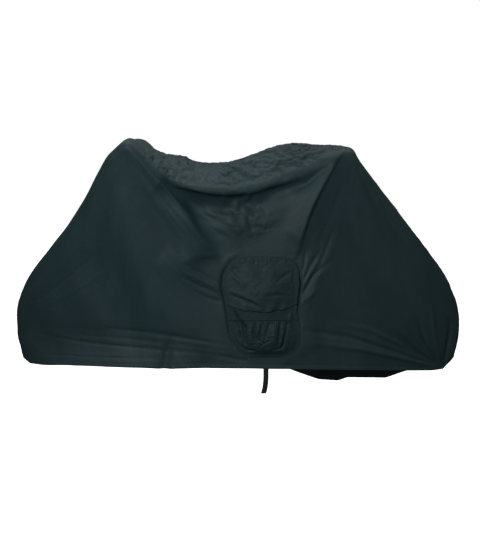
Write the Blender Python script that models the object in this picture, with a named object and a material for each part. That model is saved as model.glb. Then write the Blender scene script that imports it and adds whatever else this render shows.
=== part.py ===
"""A fitted bicycle cover, with the folds in which it hangs on its bicycle.

Two side panels are sewn together along the centre line: from the front hem, up over the handlebar, across the saddle
and down to the back hem. The near panel carries a storage pocket, which is a gathered pouch under a straight band and
a flap, and a webbing strap hangs from its hem. The cover is hollow, and open below.

Metres. +X runs to the back of the bicycle, +Z up, and the near side is -Y. The origin is the point under the top of
the cover where the saddle bears. The tables give heights above the ground, and the last step moves them to it.
"""

from collections import namedtuple

import bpy
import numpy as np

# ------------------------------------------------------------------ driving dimensions
CLOTH = 0.002            # thickness of every sheet
HEM_CLOTH = 0.003        # thickness of the turned-up hem
SEWN_GAP = 0.0003        # between two pieces that are sewn together
SADDLE = (0.310, 0.0, 1.0615)   # where the saddle bears, above the ground; the frame's origin

CORNER = 0.030           # how far from an edge of the top the cloth starts to turn over it
CROWN = 0.010            # how far the top stands over a straight line from the seam to its edge

POCKET_X = 0.087         # middle of the pocket
POCKET_Y = -0.170        # how far out the pocket's bed lies at its foot
POCKET_FOOT = 0.220      # height at which it does
POCKET_TURN = 0.060      # how much nearer the middle plane the bed gets per metre to the back
POCKET_LEAN = 0.065      # and per metre up
BED_MARGIN = 0.034       # flat cloth round the pocket
BED_FADE = 0.080         # over which the bed runs into the panel
POUCH_PUFF = 0.024       # how far the pouch stands out at its fullest
MOUTH_PUFF = 0.018       # and at its mouth
POUCH_TOP = 0.376        # heights above the ground
GATHER_LINE = 0.367
BAND_TOP = 0.432
FLAP_TOP = 0.618
FLAP_BOTTOM = 0.419
POUCH_PLEATS = 6
PLEAT_DEPTH = 0.0035

STRAP_X = 0.1035
STRAP_WIDTH = 0.021
STRAP_THICK = 0.0015
STRAP_SEWN = 0.205       # height to which the strap is sewn inside the hem
STRAP_END = 0.072        # height of its free end
STRAP_CURL = 0.0097      # how far the free end has moved to the front

NEAR_COLUMNS = 62        # facets of the near panel along the bicycle
FAR_COLUMNS = 42
POCKET_COLUMNS = 24      # facets across the pocket, the same in each of its pieces, so that they nest
NEAR_ROWS = (3, 3, 13)   # and from the seam to the turn of the cloth, round it, and down to the hem
FAR_ROWS = (2, 2, 9)

# Sections from the front hem to the back hem. Each runs from the centre seam over an edge of the top to the near hem.
# belly is how far the side stands out of a straight line from the edge to the hem.
Section = namedtuple(
    "Section", "name seam_x seam_z edge_x edge_y edge_z hem_x hem_y hem_z belly"
)
SECTIONS = [
    Section("front hem", -0.892, 0.193, -0.897, -0.030, 0.193, -0.858, -0.050, 0.171, 0.000),
    Section("front tyre low", -0.910, 0.273, -0.915, -0.034, 0.273, -0.752, -0.092, 0.174, 0.002),
    Section("front tyre", -0.915, 0.356, -0.920, -0.038, 0.356, -0.659, -0.114, 0.176, 0.004),
    Section("front tyre high", -0.899, 0.436, -0.905, -0.056, 0.436, -0.579, -0.128, 0.178, 0.006),
    Section("front 1", -0.849, 0.536, -0.856, -0.088, 0.536, -0.513, -0.137, 0.178, 0.006),
    Section("front 2", -0.759, 0.648, -0.768, -0.126, 0.648, -0.451, -0.143, 0.178, 0.006),
    Section("front 3", -0.675, 0.750, -0.685, -0.162, 0.750, -0.398, -0.148, 0.177, -0.006),
    Section("front 4", -0.602, 0.854, -0.612, -0.198, 0.854, -0.353, -0.152, 0.176, -0.010),
    Section("front 5", -0.546, 0.948, -0.555, -0.236, 0.948, -0.321, -0.155, 0.175, -0.010),
    Section("front 6", -0.496, 1.024, -0.501, -0.266, 1.024, -0.297, -0.157, 0.174, -0.010),
    Section("grip", -0.443, 1.081, -0.428, -0.290, 1.067, -0.272, -0.160, 0.174, -0.024),
    Section("top 1", -0.362, 1.042, -0.377, -0.272, 1.020, -0.228, -0.165, 0.175, -0.024),
    Section("top 2", -0.305, 1.026, -0.322, -0.252, 0.967, -0.180, -0.170, 0.175, -0.023),
    Section("top 3", -0.236, 1.017, -0.255, -0.230, 0.916, -0.128, -0.175, 0.175, -0.015),
    Section("top 4", -0.165, 0.993, -0.166, -0.208, 0.894, -0.072, -0.179, 0.175, -0.026),
    Section("top 5", -0.049, 0.994, -0.055, -0.186, 0.882, -0.012, -0.176, 0.174, -0.030),
    Section("top 6", 0.049, 1.023, 0.059, -0.160, 0.895, 0.048, -0.172, 0.173, -0.028),
    Section("top 7", 0.130, 1.053, 0.170, -0.135, 0.927, 0.104, -0.169, 0.171, -0.018),
    Section("top 8", 0.208, 1.069, 0.278, -0.113, 0.972, 0.156, -0.166, 0.170, -0.006),
    Section("top 9", 0.305, 1.064, 0.362, -0.097, 1.010, 0.204, -0.163, 0.169, 0.000),
    Section("saddle tail", 0.448, 1.050, 0.441, -0.085, 1.040, 0.252, -0.158, 0.167, 0.000),
    Section("back 1", 0.485, 0.991, 0.487, -0.080, 0.991, 0.308, -0.151, 0.164, -0.004),
    Section("back 2", 0.537, 0.924, 0.539, -0.074, 0.924, 0.373, -0.143, 0.162, -0.006),
    Section("back 3", 0.610, 0.828, 0.615, -0.067, 0.828, 0.446, -0.134, 0.159, -0.006),
    Section("back 4", 0.687, 0.731, 0.693, -0.060, 0.731, 0.524, -0.122, 0.156, -0.005),
    Section("back 5", 0.766, 0.629, 0.773, -0.053, 0.629, 0.603, -0.108, 0.153, -0.004),
    Section("back 6", 0.838, 0.526, 0.846, -0.047, 0.526, 0.678, -0.092, 0.149, -0.002),
    Section("back tyre high", 0.887, 0.407, 0.893, -0.043, 0.407, 0.738, -0.076, 0.146, 0.000),
    Section("back tyre low", 0.897, 0.308, 0.903, -0.042, 0.308, 0.786, -0.062, 0.144, 0.000),
    Section("back hem", 0.880, 0.199, 0.885, -0.040, 0.199, 0.833, -0.048, 0.147, 0.000),
]

# How the far panel differs from the near one, along the cover: its grip end is a little further back and higher, and
# its hem hangs lower behind the pocket.
Far = namedtuple("Far", "x edge_back edge_up hem_drop belly")
FAR_SIDE = [
    Far(-0.95, 0.000, 0.000, 0.000, 0.000),
    Far(-0.55, 0.008, 0.004, 0.000, 0.010),
    Far(-0.43, 0.022, 0.016, 0.004, 0.022),
    Far(-0.20, 0.010, 0.022, 0.004, 0.000),
    Far(0.08, 0.000, 0.024, 0.015, 0.000),
    Far(0.19, 0.000, 0.014, 0.055, 0.000),
    Far(0.25, 0.000, 0.006, 0.074, 0.000),
    Far(0.34, 0.000, 0.000, 0.099, 0.000),
    Far(0.42, 0.000, 0.000, 0.099, 0.000),
    Far(0.46, 0.000, 0.000, 0.083, 0.000),
    Far(0.62, 0.000, 0.000, 0.073, 0.000),
    Far(0.70, 0.000, 0.000, 0.036, 0.000),
    Far(0.79, 0.000, 0.000, 0.004, 0.000),
    Far(0.95, 0.000, 0.000, 0.000, 0.000),
]

# Main folds, seen from the side: the line of each, its half width at both ends, and how far it stands out, or in
# where that is negative. Each dies away at its ends.
Fold = namedtuple("Fold", "name line width end_width out")
NEAR_FOLDS = [
    Fold("hollow under the edge of the top",
         [(-0.355, 0.965), (-0.255, 0.885), (-0.170, 0.836), (-0.060, 0.812), (0.085, 0.833), (0.200, 0.888)],
         0.028, 0.028, -0.018),
    Fold("hollow before the saddle", [(0.085, 0.861), (0.188, 0.891), (0.284, 0.914), (0.374, 0.978)],
         0.026, 0.024, -0.014),
    Fold("ridge from the grip to the pocket",
         [(-0.391, 0.999), (-0.294, 0.918), (-0.215, 0.791), (-0.093, 0.618)], 0.026, 0.032, 0.011),
    Fold("hollow behind that ridge", [(-0.346, 0.970), (-0.240, 0.865), (-0.145, 0.765), (-0.060, 0.650)],
         0.030, 0.036, -0.016),
    Fold("swell under the grip", [(-0.440, 1.010), (-0.385, 0.930), (-0.325, 0.840), (-0.240, 0.700), (-0.150, 0.560)],
         0.045, 0.055, 0.009),
    Fold("ridge from the saddle to the pocket",
         [(0.402, 1.030), (0.378, 0.995), (0.322, 0.890), (0.285, 0.820), (0.256, 0.741), (0.208, 0.619)],
         0.046, 0.060, 0.026),
    Fold("hollow behind that ridge", [(0.430, 0.980), (0.375, 0.850), (0.322, 0.730), (0.272, 0.600), (0.262, 0.500)],
         0.026, 0.030, -0.002),
    Fold("hollow along the front edge", [(-0.498, 0.994), (-0.609, 0.805), (-0.726, 0.646), (-0.848, 0.478)],
         0.028, 0.034, -0.009),
    Fold("ray from the front tyre", [(-0.845, 0.410), (-0.719, 0.507), (-0.540, 0.650)], 0.024, 0.040, -0.003),
    Fold("long hollow over the front hem", [(-0.720, 0.312), (-0.480, 0.318), (-0.250, 0.302), (-0.040, 0.272)],
         0.022, 0.022, -0.002),
    Fold("flare of the front hem", [(-0.880, 0.160), (-0.700, 0.172), (-0.450, 0.176), (-0.150, 0.172)],
         0.070, 0.050, 0.022),
    Fold("low ray from the back tyre", [(0.800, 0.172), (0.625, 0.218), (0.440, 0.262), (0.290, 0.290)],
         0.022, 0.030, 0.003),
    Fold("middle ray from the back tyre", [(0.810, 0.175), (0.664, 0.250), (0.518, 0.321), (0.340, 0.372)],
         0.022, 0.034, -0.004),
    Fold("high ray from the back tyre", [(0.815, 0.185), (0.740, 0.290), (0.690, 0.400)], 0.022, 0.034, 0.004),
    Fold("hollow along the back edge", [(0.498, 0.915), (0.624, 0.734), (0.745, 0.584)], 0.026, 0.030, -0.007),
]
FAR_FOLDS = [
    Fold("ridge from the grip", [(-0.380, 0.990), (-0.260, 0.760), (-0.120, 0.500)], 0.036, 0.046, 0.012),
    Fold("hollow under the edge of the top", [(-0.300, 0.900), (-0.120, 0.800), (0.060, 0.790), (0.250, 0.880)],
         0.040, 0.040, -0.018),
    Fold("ridge from the saddle", [(0.400, 1.000), (0.290, 0.720), (0.200, 0.420)], 0.034, 0.046, 0.014),
    Fold("hollow behind that ridge", [(0.440, 0.930), (0.370, 0.700), (0.310, 0.450)], 0.036, 0.046, -0.010),
    Fold("hollow along the front edge", [(-0.520, 0.950), (-0.650, 0.740), (-0.800, 0.540)], 0.036, 0.036, -0.008),
    Fold("long hollow over the hem", [(-0.700, 0.300), (-0.350, 0.290), (0.050, 0.250)], 0.030, 0.032, -0.009),
    Fold("ray from the back tyre", [(0.780, 0.190), (0.560, 0.290), (0.360, 0.360)], 0.030, 0.040, -0.010),
    Fold("high ray from the back tyre", [(0.800, 0.240), (0.700, 0.400), (0.600, 0.520)], 0.030, 0.040, 0.008),
]

# Outline of the pocket: height above the ground, and its front and back edge there.
Level = namedtuple("Level", "z front back")
POCKET_OUTLINE = [
    Level(0.622, 0.030, 0.160),
    Level(0.612, -0.005, 0.196),
    Level(0.592, -0.036, 0.220),
    Level(0.562, -0.060, 0.234),
    Level(0.510, -0.067, 0.237),
    Level(0.443, -0.055, 0.228),
    Level(0.400, -0.047, 0.226),
    Level(0.345, -0.040, 0.239),
    Level(0.290, -0.032, 0.240),
    Level(0.256, -0.016, 0.230),
    Level(0.230, 0.010, 0.204),
    Level(0.218, 0.040, 0.166),
]


# ------------------------------------------------------------------ shapes as numbers
def between(rows, at):
    """A smooth curve through rows of numbers, read at the row numbers in at."""
    ends = np.vstack([2 * rows[0] - rows[1], rows, 2 * rows[-1] - rows[-2]])
    row = np.clip(np.floor(at).astype(int), 0, len(rows) - 2)
    t = (at - row)[:, None]
    a, b, c, d = (ends[row + i] for i in range(4))
    return b + 0.5 * t * (c - a + t * (2 * a - 5 * b + 4 * c - d + t * (3 * (b - c) + d - a)))


def rails(columns, side):
    """The seam, the edge of the top, the hem and the belly at each column; side is -1 near and 1 far."""
    rows = np.array([row[1:] for row in SECTIONS])
    seam_x, seam_z, edge_x, edge_y, edge_z, hem_x, hem_y, hem_z, belly = between(
        rows, np.linspace(0, len(rows) - 1, columns + 1)
    ).T
    if side > 0:
        far = np.array(FAR_SIDE)
        edge_x = edge_x + np.interp(edge_x, far[:, 0], far[:, 1])
        edge_z = edge_z + np.interp(edge_x, far[:, 0], far[:, 2])
        hem_z = hem_z - np.interp(hem_x, far[:, 0], far[:, 3])
        belly = belly + np.interp(edge_x, far[:, 0], far[:, 4])
    middle = np.full_like(seam_x, side * SEWN_GAP / 2)
    seam = np.stack([seam_x, middle, seam_z], axis=1)
    edge = np.stack([edge_x, -side * edge_y, edge_z], axis=1)
    hem = np.stack([hem_x, -side * hem_y, hem_z], axis=1)
    return seam, edge, hem, side * belly


def sheet_points(columns, rows, side):
    """The outer face of a panel as a grid of points: one column for each section, from the seam to the hem."""
    seam, edge, hem, belly = rails(columns, side)
    top_length = np.linalg.norm(edge - seam, axis=1)[:, None]
    side_length = np.linalg.norm(hem - edge, axis=1)[:, None]
    turn_from = edge + (seam - edge) * np.minimum(CORNER / top_length, 0.45)
    turn_to = edge + (hem - edge) * np.minimum(CORNER / side_length, 0.45)
    lines = []
    for t in np.linspace(0, 1, rows[0] + 1)[:-1]:
        crown = CROWN * np.sin(np.pi * t) * top_length[:, 0] / top_length.max()
        lines.append(seam + (turn_from - seam) * t + crown[:, None] * [0, 0, 1])
    for t in np.linspace(0, 1, rows[1] + 1)[:-1]:
        lines.append((1 - t) ** 2 * turn_from + 2 * t * (1 - t) * edge + t**2 * turn_to)
    for t in np.linspace(0, 1, rows[2] + 1):
        out = belly * np.sin(np.pi * t**0.7)
        lines.append(turn_to + (hem - turn_to) * t + out[:, None] * [0, 1, 0])
    return np.stack(lines, axis=1)


def normals(points, side):
    """Outward directions of a grid of points. Along the seam they lie in the middle plane."""
    along, down = np.gradient(points, axis=0), np.gradient(points, axis=1)
    n = np.cross(along, down) * side
    n[:, 0, 1] = 0
    return n / np.linalg.norm(n, axis=2, keepdims=True)


def smooth_step(x):
    x = np.clip(x, 0, 1)
    return x * x * (3 - 2 * x)


def fold_height(x, z, folds):
    """How far folds lift a panel at side-view places."""
    lift = np.zeros_like(x)
    for fold in folds:
        line = np.array(fold.line)
        steps = np.diff(line, axis=0)
        lengths = np.linalg.norm(steps, axis=1)
        reached = np.concatenate([[0], np.cumsum(lengths)]) / lengths.sum()
        nearest = np.full_like(x, np.inf)
        share = np.zeros_like(x)
        for i, step in enumerate(steps):
            t = ((x - line[i, 0]) * step[0] + (z - line[i, 1]) * step[1]) / lengths[i] ** 2
            t = np.clip(t, 0, 1)
            away = np.hypot(x - line[i, 0] - t * step[0], z - line[i, 1] - t * step[1])
            share = np.where(away < nearest, reached[i] + t * (reached[i + 1] - reached[i]), share)
            nearest = np.minimum(away, nearest)
        width = fold.width + (fold.end_width - fold.width) * share
        lift += fold.out * np.sin(np.pi * np.clip(share, 0, 1)) ** 0.7 * np.exp(-((nearest / width) ** 2))
    return lift


def bed_y(x, z):
    """Where the flat bed of the pocket lies."""
    return POCKET_Y + POCKET_TURN * (x - POCKET_X) + POCKET_LEAN * (z - POCKET_FOOT)


def pocket_edges(z):
    """The pocket's front and back edge at heights z."""
    outline = np.array(POCKET_OUTLINE)[::-1]
    return np.interp(z, outline[:, 0], outline[:, 1]), np.interp(z, outline[:, 0], outline[:, 2])


def bed_share(x, z):
    """1 on the pocket's bed, falling to 0 round it."""
    front, back = pocket_edges(z)
    aside = np.maximum(np.maximum(front - x, x - back), 0)
    above = np.maximum(z - POCKET_OUTLINE[0].z, 0)
    return 1 - smooth_step((np.hypot(aside, above) - BED_MARGIN) / BED_FADE)


def panel(columns, rows, side, folds):
    """The outer face of a hanging panel, with its folds."""
    points = sheet_points(columns, rows, side)
    x, z = points[..., 0], points[..., 2]
    bed = bed_share(x, z) if side < 0 else np.zeros_like(x)
    free = np.linspace(0, 1, points.shape[1])[None, :]
    lift = fold_height(x, z, folds) * (1 - bed) * smooth_step(free * 8)
    points = points + normals(points, side) * lift[..., None]
    points[..., 1] += (bed_y(points[..., 0], points[..., 2]) - points[..., 1]) * bed
    return points


# ------------------------------------------------------------------ shapes as solids
def solid(name, outer, inner, colour, roughness):
    """One closed sheet between two grids of points, as a named object with its own material."""
    columns, rows = outer.shape[:2]
    points = np.concatenate([outer.reshape(-1, 3), inner.reshape(-1, 3)]) - SADDLE
    index = np.arange(columns * rows).reshape(columns, rows)
    behind = index + columns * rows
    faces = []
    for i in range(columns - 1):
        for j in range(rows - 1):
            quad = [index[i, j], index[i, j + 1], index[i + 1, j + 1], index[i + 1, j]]
            a, b, c, d = points[quad]
            if np.linalg.norm(b - d) < np.linalg.norm(a - c):
                quad = quad[1:] + quad[:1]
            for half in (quad[:3], [quad[0], quad[2], quad[3]]):
                faces.append(half)
                faces.append([k + columns * rows for k in reversed(half)])
    rim = list(index[:, 0]) + list(index[-1, 1:]) + list(index[-2::-1, -1]) + list(index[0, -2:0:-1])
    far_rim = list(behind[:, 0]) + list(behind[-1, 1:]) + list(behind[-2::-1, -1]) + list(behind[0, -2:0:-1])
    for i in range(len(rim)):
        j = (i + 1) % len(rim)
        faces.append([rim[i], rim[j], far_rim[j], far_rim[i]])
    mesh = bpy.data.meshes.new(name)
    mesh.from_pydata([tuple(p) for p in points], [], [[int(k) for k in f] for f in faces])
    mesh.update()
    if signed_volume(points, mesh) < 0:
        mesh.flip_normals()
    mesh.shade_smooth()
    mesh.set_sharp_from_angle(angle=np.radians(50))
    material = bpy.data.materials.new(name)
    material.use_nodes = True
    shader = material.node_tree.nodes["Principled BSDF"]
    shader.inputs["Base Color"].default_value = (*colour, 1)
    shader.inputs["Roughness"].default_value = roughness
    shader.inputs["Metallic"].default_value = 0
    mesh.materials.append(material)
    piece = bpy.data.objects.new(name, mesh)
    bpy.context.scene.collection.objects.link(piece)
    return piece


def signed_volume(points, mesh):
    """Positive when the faces of a closed mesh point outwards."""
    mesh.calc_loop_triangles()
    corners = points[np.array([t.vertices[:] for t in mesh.loop_triangles])]
    return np.einsum("ij,ij->i", corners[:, 0], np.cross(corners[:, 1], corners[:, 2])).sum()


TAFFETA = (0.012, 0.022, 0.025)
WEBBING = (0.026, 0.044, 0.038)


def side_panel(name, columns, rows, side, folds):
    outer = panel(columns, rows, side, folds)
    thick = np.full(outer.shape[:2], CLOTH)
    thick[:, -1] = HEM_CLOTH
    inner = outer - normals(outer, side) * thick[..., None]
    inner[:, 0, 1] = outer[:, 0, 1]
    return solid(name, outer, inner, TAFFETA, 0.55)


def on_bed(x, z, out):
    """Points that stand out from the pocket's bed."""
    x, out, z = np.broadcast_arrays(x, out, z)
    return np.stack([x, bed_y(x, z) - out, z], axis=-1)


def across_pocket(heights):
    """x, z and the share of the way across the pocket, for a grid of columns at the heights given."""
    z = np.array(heights)[None, :]
    share = np.linspace(0, 1, POCKET_COLUMNS + 1)[:, None]
    front, back = pocket_edges(z)
    return front + (back - front) * share, z, share


def puff(share):
    """The swell of the pouch across its width, 0 at its sewn edges."""
    return np.sin(np.pi * smooth_step((share - 0.04) / 0.92)) ** 0.6


def pouch():
    """The gathered bag: flat where it is sewn down round its edge, open at its mouth behind the band."""
    bottom = POCKET_OUTLINE[-1].z
    below_band = GATHER_LINE - 0.001
    x, z, share = across_pocket([POUCH_TOP, *np.linspace(below_band, bottom, 8)])
    down = np.clip((below_band - z) / (below_band - bottom), 0, 1)
    swell = np.interp(down, [0, 0.45, 0.8, 0.93, 1], [MOUTH_PUFF, POUCH_PUFF, 0.014, 0, 0])
    rim = smooth_step((share - 0.08) / 0.2) * smooth_step((0.92 - share) / 0.2)
    pleats = np.cos(2 * np.pi * POUCH_PLEATS * share) * rim * smooth_step(down * 5) * smooth_step((0.9 - down) * 3)
    out = SEWN_GAP + swell * puff(share) + PLEAT_DEPTH * pleats
    return solid("pouch", on_bed(x, z, out + CLOTH), on_bed(x, z, out), TAFFETA, 0.5)


def pouch_band():
    """The straight band along the pouch's mouth, in front of its gathered edge."""
    x, z, share = across_pocket([BAND_TOP, 0.400, GATHER_LINE])
    out = 2 * SEWN_GAP + CLOTH + MOUTH_PUFF * puff(share)
    return solid("pouch_band", on_bed(x, z, out + CLOTH), on_bed(x, z, out), TAFFETA, 0.5)


def pocket_flap():
    """The flap, sewn along its top and hanging over the band."""
    x, z, share = across_pocket([*np.linspace(FLAP_TOP, 0.443, 7), FLAP_BOTTOM])
    down = (FLAP_TOP - z) / (FLAP_TOP - FLAP_BOTTOM)
    over_band = MOUTH_PUFF * puff(share) + 2 * CLOTH + 3 * SEWN_GAP
    out = SEWN_GAP + over_band * smooth_step(down / 0.85)
    return solid("pocket_flap", on_bed(x, z, out + CLOTH), on_bed(x, z, out), TAFFETA, 0.5)


def strap():
    """The webbing strap: sewn inside the near hem, its free end hanging with a slight curl to the front."""
    stations = 14
    z = np.linspace(STRAP_SEWN, STRAP_END, stations + 1)
    hanging = np.clip((0.150 - z) / (0.150 - STRAP_END), 0, 1)
    middle = STRAP_X - STRAP_CURL * hanging**2.5
    x = np.stack([middle - STRAP_WIDTH / 2, middle + STRAP_WIDTH / 2], axis=1)
    z = np.stack([z, z], axis=1)
    y = bed_y(x, z) + HEM_CLOTH + SEWN_GAP + 0.004 * (hanging**2)[:, None]
    outer = np.stack([x, y, z], axis=-1)
    return solid("strap", outer, outer + [0, STRAP_THICK, 0], WEBBING, 0.7)


for old in list(bpy.data.objects):
    bpy.data.objects.remove(old, do_unlink=True)
side_panel("side_near", NEAR_COLUMNS, NEAR_ROWS, -1, NEAR_FOLDS)
side_panel("side_far", FAR_COLUMNS, FAR_ROWS, 1, FAR_FOLDS)
pouch()
pouch_band()
pocket_flap()
strap()
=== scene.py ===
"""A fitted bicycle cover of dark coated taffeta, in the folds in which it hangs in use.

Metres, in the frame of the CAD model: +X runs to the back, +Z up, and the near side is -Y. The tables give heights
above the ground and distances from the middle of the photograph, and cut_mesh moves them to the frame.
"""

import math

import bpy
import numpy as np
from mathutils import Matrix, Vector, noise


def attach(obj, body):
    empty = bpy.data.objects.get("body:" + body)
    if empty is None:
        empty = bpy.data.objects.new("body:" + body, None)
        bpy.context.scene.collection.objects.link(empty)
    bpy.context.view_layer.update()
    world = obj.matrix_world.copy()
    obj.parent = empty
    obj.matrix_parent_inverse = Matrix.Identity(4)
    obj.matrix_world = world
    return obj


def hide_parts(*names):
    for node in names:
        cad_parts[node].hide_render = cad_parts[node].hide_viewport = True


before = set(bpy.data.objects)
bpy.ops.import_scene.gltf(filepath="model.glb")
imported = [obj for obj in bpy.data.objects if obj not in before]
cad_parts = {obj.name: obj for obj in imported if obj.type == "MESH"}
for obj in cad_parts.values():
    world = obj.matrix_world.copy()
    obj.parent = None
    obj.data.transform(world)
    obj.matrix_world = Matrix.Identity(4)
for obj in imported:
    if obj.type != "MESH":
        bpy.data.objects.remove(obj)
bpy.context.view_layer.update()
bpy.ops.object.select_all(action="DESELECT")

# ------------------------------------------------------------------ side panels
# Two panels of thin coated taffeta, sewn together along the centre line from the front hem over the top to the back
# hem. They hang from a wide peak in front and a narrow one behind, taut at the cover's ends and slack between them.
SADDLE = (0.310, 0.0, 1.0615)    # where the saddle bears, above the ground; the frame's origin
CLOTH = 0.0010                   # thickness of the finished cloth
SEWN_GAP = 0.0003                # between two pieces that are sewn together
CORNER = 0.030                   # how far from an edge of the top the cloth starts to turn over it
MOST_CORNER = 0.45               # but no more than this share of the top or the side
CROWN = 0.010                    # how far the top stands over a straight line from the seam to its edge
HEM = 0.014                      # depth of the turned-up hem
HEM_PROUD = 0.0007               # how far it stands out
HEM_ROWS = (0.86, 0.12)          # heights of two rows in it, as shares of its depth; it is stitched at the first

# Sections of the near panel: x and z of the seam, x, y and z of the edge of the top and of the hem, and how far the
# side bellies out, or in where that is negative.
SECTIONS = [
    ("front hem", -0.892, 0.193, -0.897, -0.030, 0.193, -0.858, -0.050, 0.171, 0.000),
    ("front end low", -0.910, 0.273, -0.915, -0.034, 0.273, -0.752, -0.092, 0.174, 0.002),
    ("front end", -0.915, 0.356, -0.920, -0.038, 0.356, -0.659, -0.114, 0.176, 0.004),
    ("front end high", -0.899, 0.436, -0.905, -0.056, 0.436, -0.579, -0.128, 0.178, 0.006),
    ("front 1", -0.849, 0.536, -0.856, -0.088, 0.536, -0.513, -0.137, 0.178, 0.006),
    ("front 2", -0.759, 0.648, -0.768, -0.126, 0.648, -0.451, -0.143, 0.178, 0.006),
    ("front 3", -0.675, 0.750, -0.685, -0.162, 0.750, -0.398, -0.148, 0.177, -0.006),
    ("front 4", -0.602, 0.854, -0.612, -0.198, 0.854, -0.353, -0.152, 0.176, -0.010),
    ("front 5", -0.546, 0.948, -0.555, -0.236, 0.948, -0.321, -0.155, 0.175, -0.010),
    ("front 6", -0.496, 1.024, -0.501, -0.266, 1.024, -0.297, -0.157, 0.174, -0.010),
    ("grip", -0.443, 1.081, -0.428, -0.290, 1.067, -0.272, -0.160, 0.174, -0.024),
    ("top 1", -0.362, 1.042, -0.377, -0.272, 1.020, -0.228, -0.165, 0.175, -0.024),
    ("top 2", -0.305, 1.026, -0.322, -0.252, 0.967, -0.180, -0.170, 0.175, -0.023),
    ("top 3", -0.236, 1.017, -0.255, -0.230, 0.916, -0.128, -0.175, 0.175, -0.015),
    ("top 4", -0.165, 0.993, -0.166, -0.208, 0.894, -0.072, -0.179, 0.175, -0.026),
    ("top 5", -0.049, 0.994, -0.055, -0.186, 0.882, -0.012, -0.176, 0.174, -0.030),
    ("top 6", 0.049, 1.023, 0.059, -0.160, 0.895, 0.048, -0.172, 0.173, -0.028),
    ("top 7", 0.130, 1.053, 0.170, -0.135, 0.927, 0.104, -0.169, 0.171, -0.018),
    ("top 8", 0.208, 1.069, 0.278, -0.113, 0.972, 0.156, -0.166, 0.170, -0.006),
    ("top 9", 0.305, 1.064, 0.362, -0.097, 1.010, 0.204, -0.163, 0.169, 0.000),
    ("saddle tail", 0.448, 1.050, 0.441, -0.085, 1.040, 0.252, -0.158, 0.167, 0.000),
    ("back 1", 0.485, 0.991, 0.487, -0.080, 0.991, 0.308, -0.151, 0.164, -0.004),
    ("back 2", 0.537, 0.924, 0.539, -0.074, 0.924, 0.373, -0.143, 0.162, -0.006),
    ("back 3", 0.610, 0.828, 0.615, -0.067, 0.828, 0.446, -0.134, 0.159, -0.006),
    ("back 4", 0.687, 0.731, 0.693, -0.060, 0.731, 0.524, -0.122, 0.156, -0.005),
    ("back 5", 0.766, 0.629, 0.773, -0.053, 0.629, 0.603, -0.108, 0.153, -0.004),
    ("back 6", 0.838, 0.526, 0.846, -0.047, 0.526, 0.678, -0.092, 0.149, -0.002),
    ("back end high", 0.887, 0.407, 0.893, -0.043, 0.407, 0.738, -0.076, 0.146, 0.000),
    ("back end low", 0.897, 0.308, 0.903, -0.042, 0.308, 0.786, -0.062, 0.144, 0.000),
    ("back hem", 0.880, 0.199, 0.885, -0.040, 0.199, 0.833, -0.048, 0.147, 0.000),
]

# How the far panel differs, with its grip end further back and higher, and a lower hem: at each x, how far the edge
# of the top is back and up, how far the hem is down, and how much more belly it has.
FAR_SIDE = [
    (-0.95, 0.000, 0.000, 0.000, 0.000),
    (-0.55, 0.008, 0.004, 0.000, 0.010),
    (-0.43, 0.022, 0.016, 0.004, 0.022),
    (-0.20, 0.010, 0.022, 0.004, 0.000),
    (0.08, 0.000, 0.024, 0.015, 0.000),
    (0.19, 0.000, 0.014, 0.055, 0.000),
    (0.25, 0.000, 0.006, 0.074, 0.000),
    (0.34, 0.000, 0.000, 0.099, 0.000),
    (0.42, 0.000, 0.000, 0.099, 0.000),
    (0.46, 0.000, 0.000, 0.083, 0.000),
    (0.62, 0.000, 0.000, 0.073, 0.000),
    (0.70, 0.000, 0.000, 0.036, 0.000),
    (0.79, 0.000, 0.000, 0.004, 0.000),
    (0.95, 0.000, 0.000, 0.000, 0.000),
]

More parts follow.
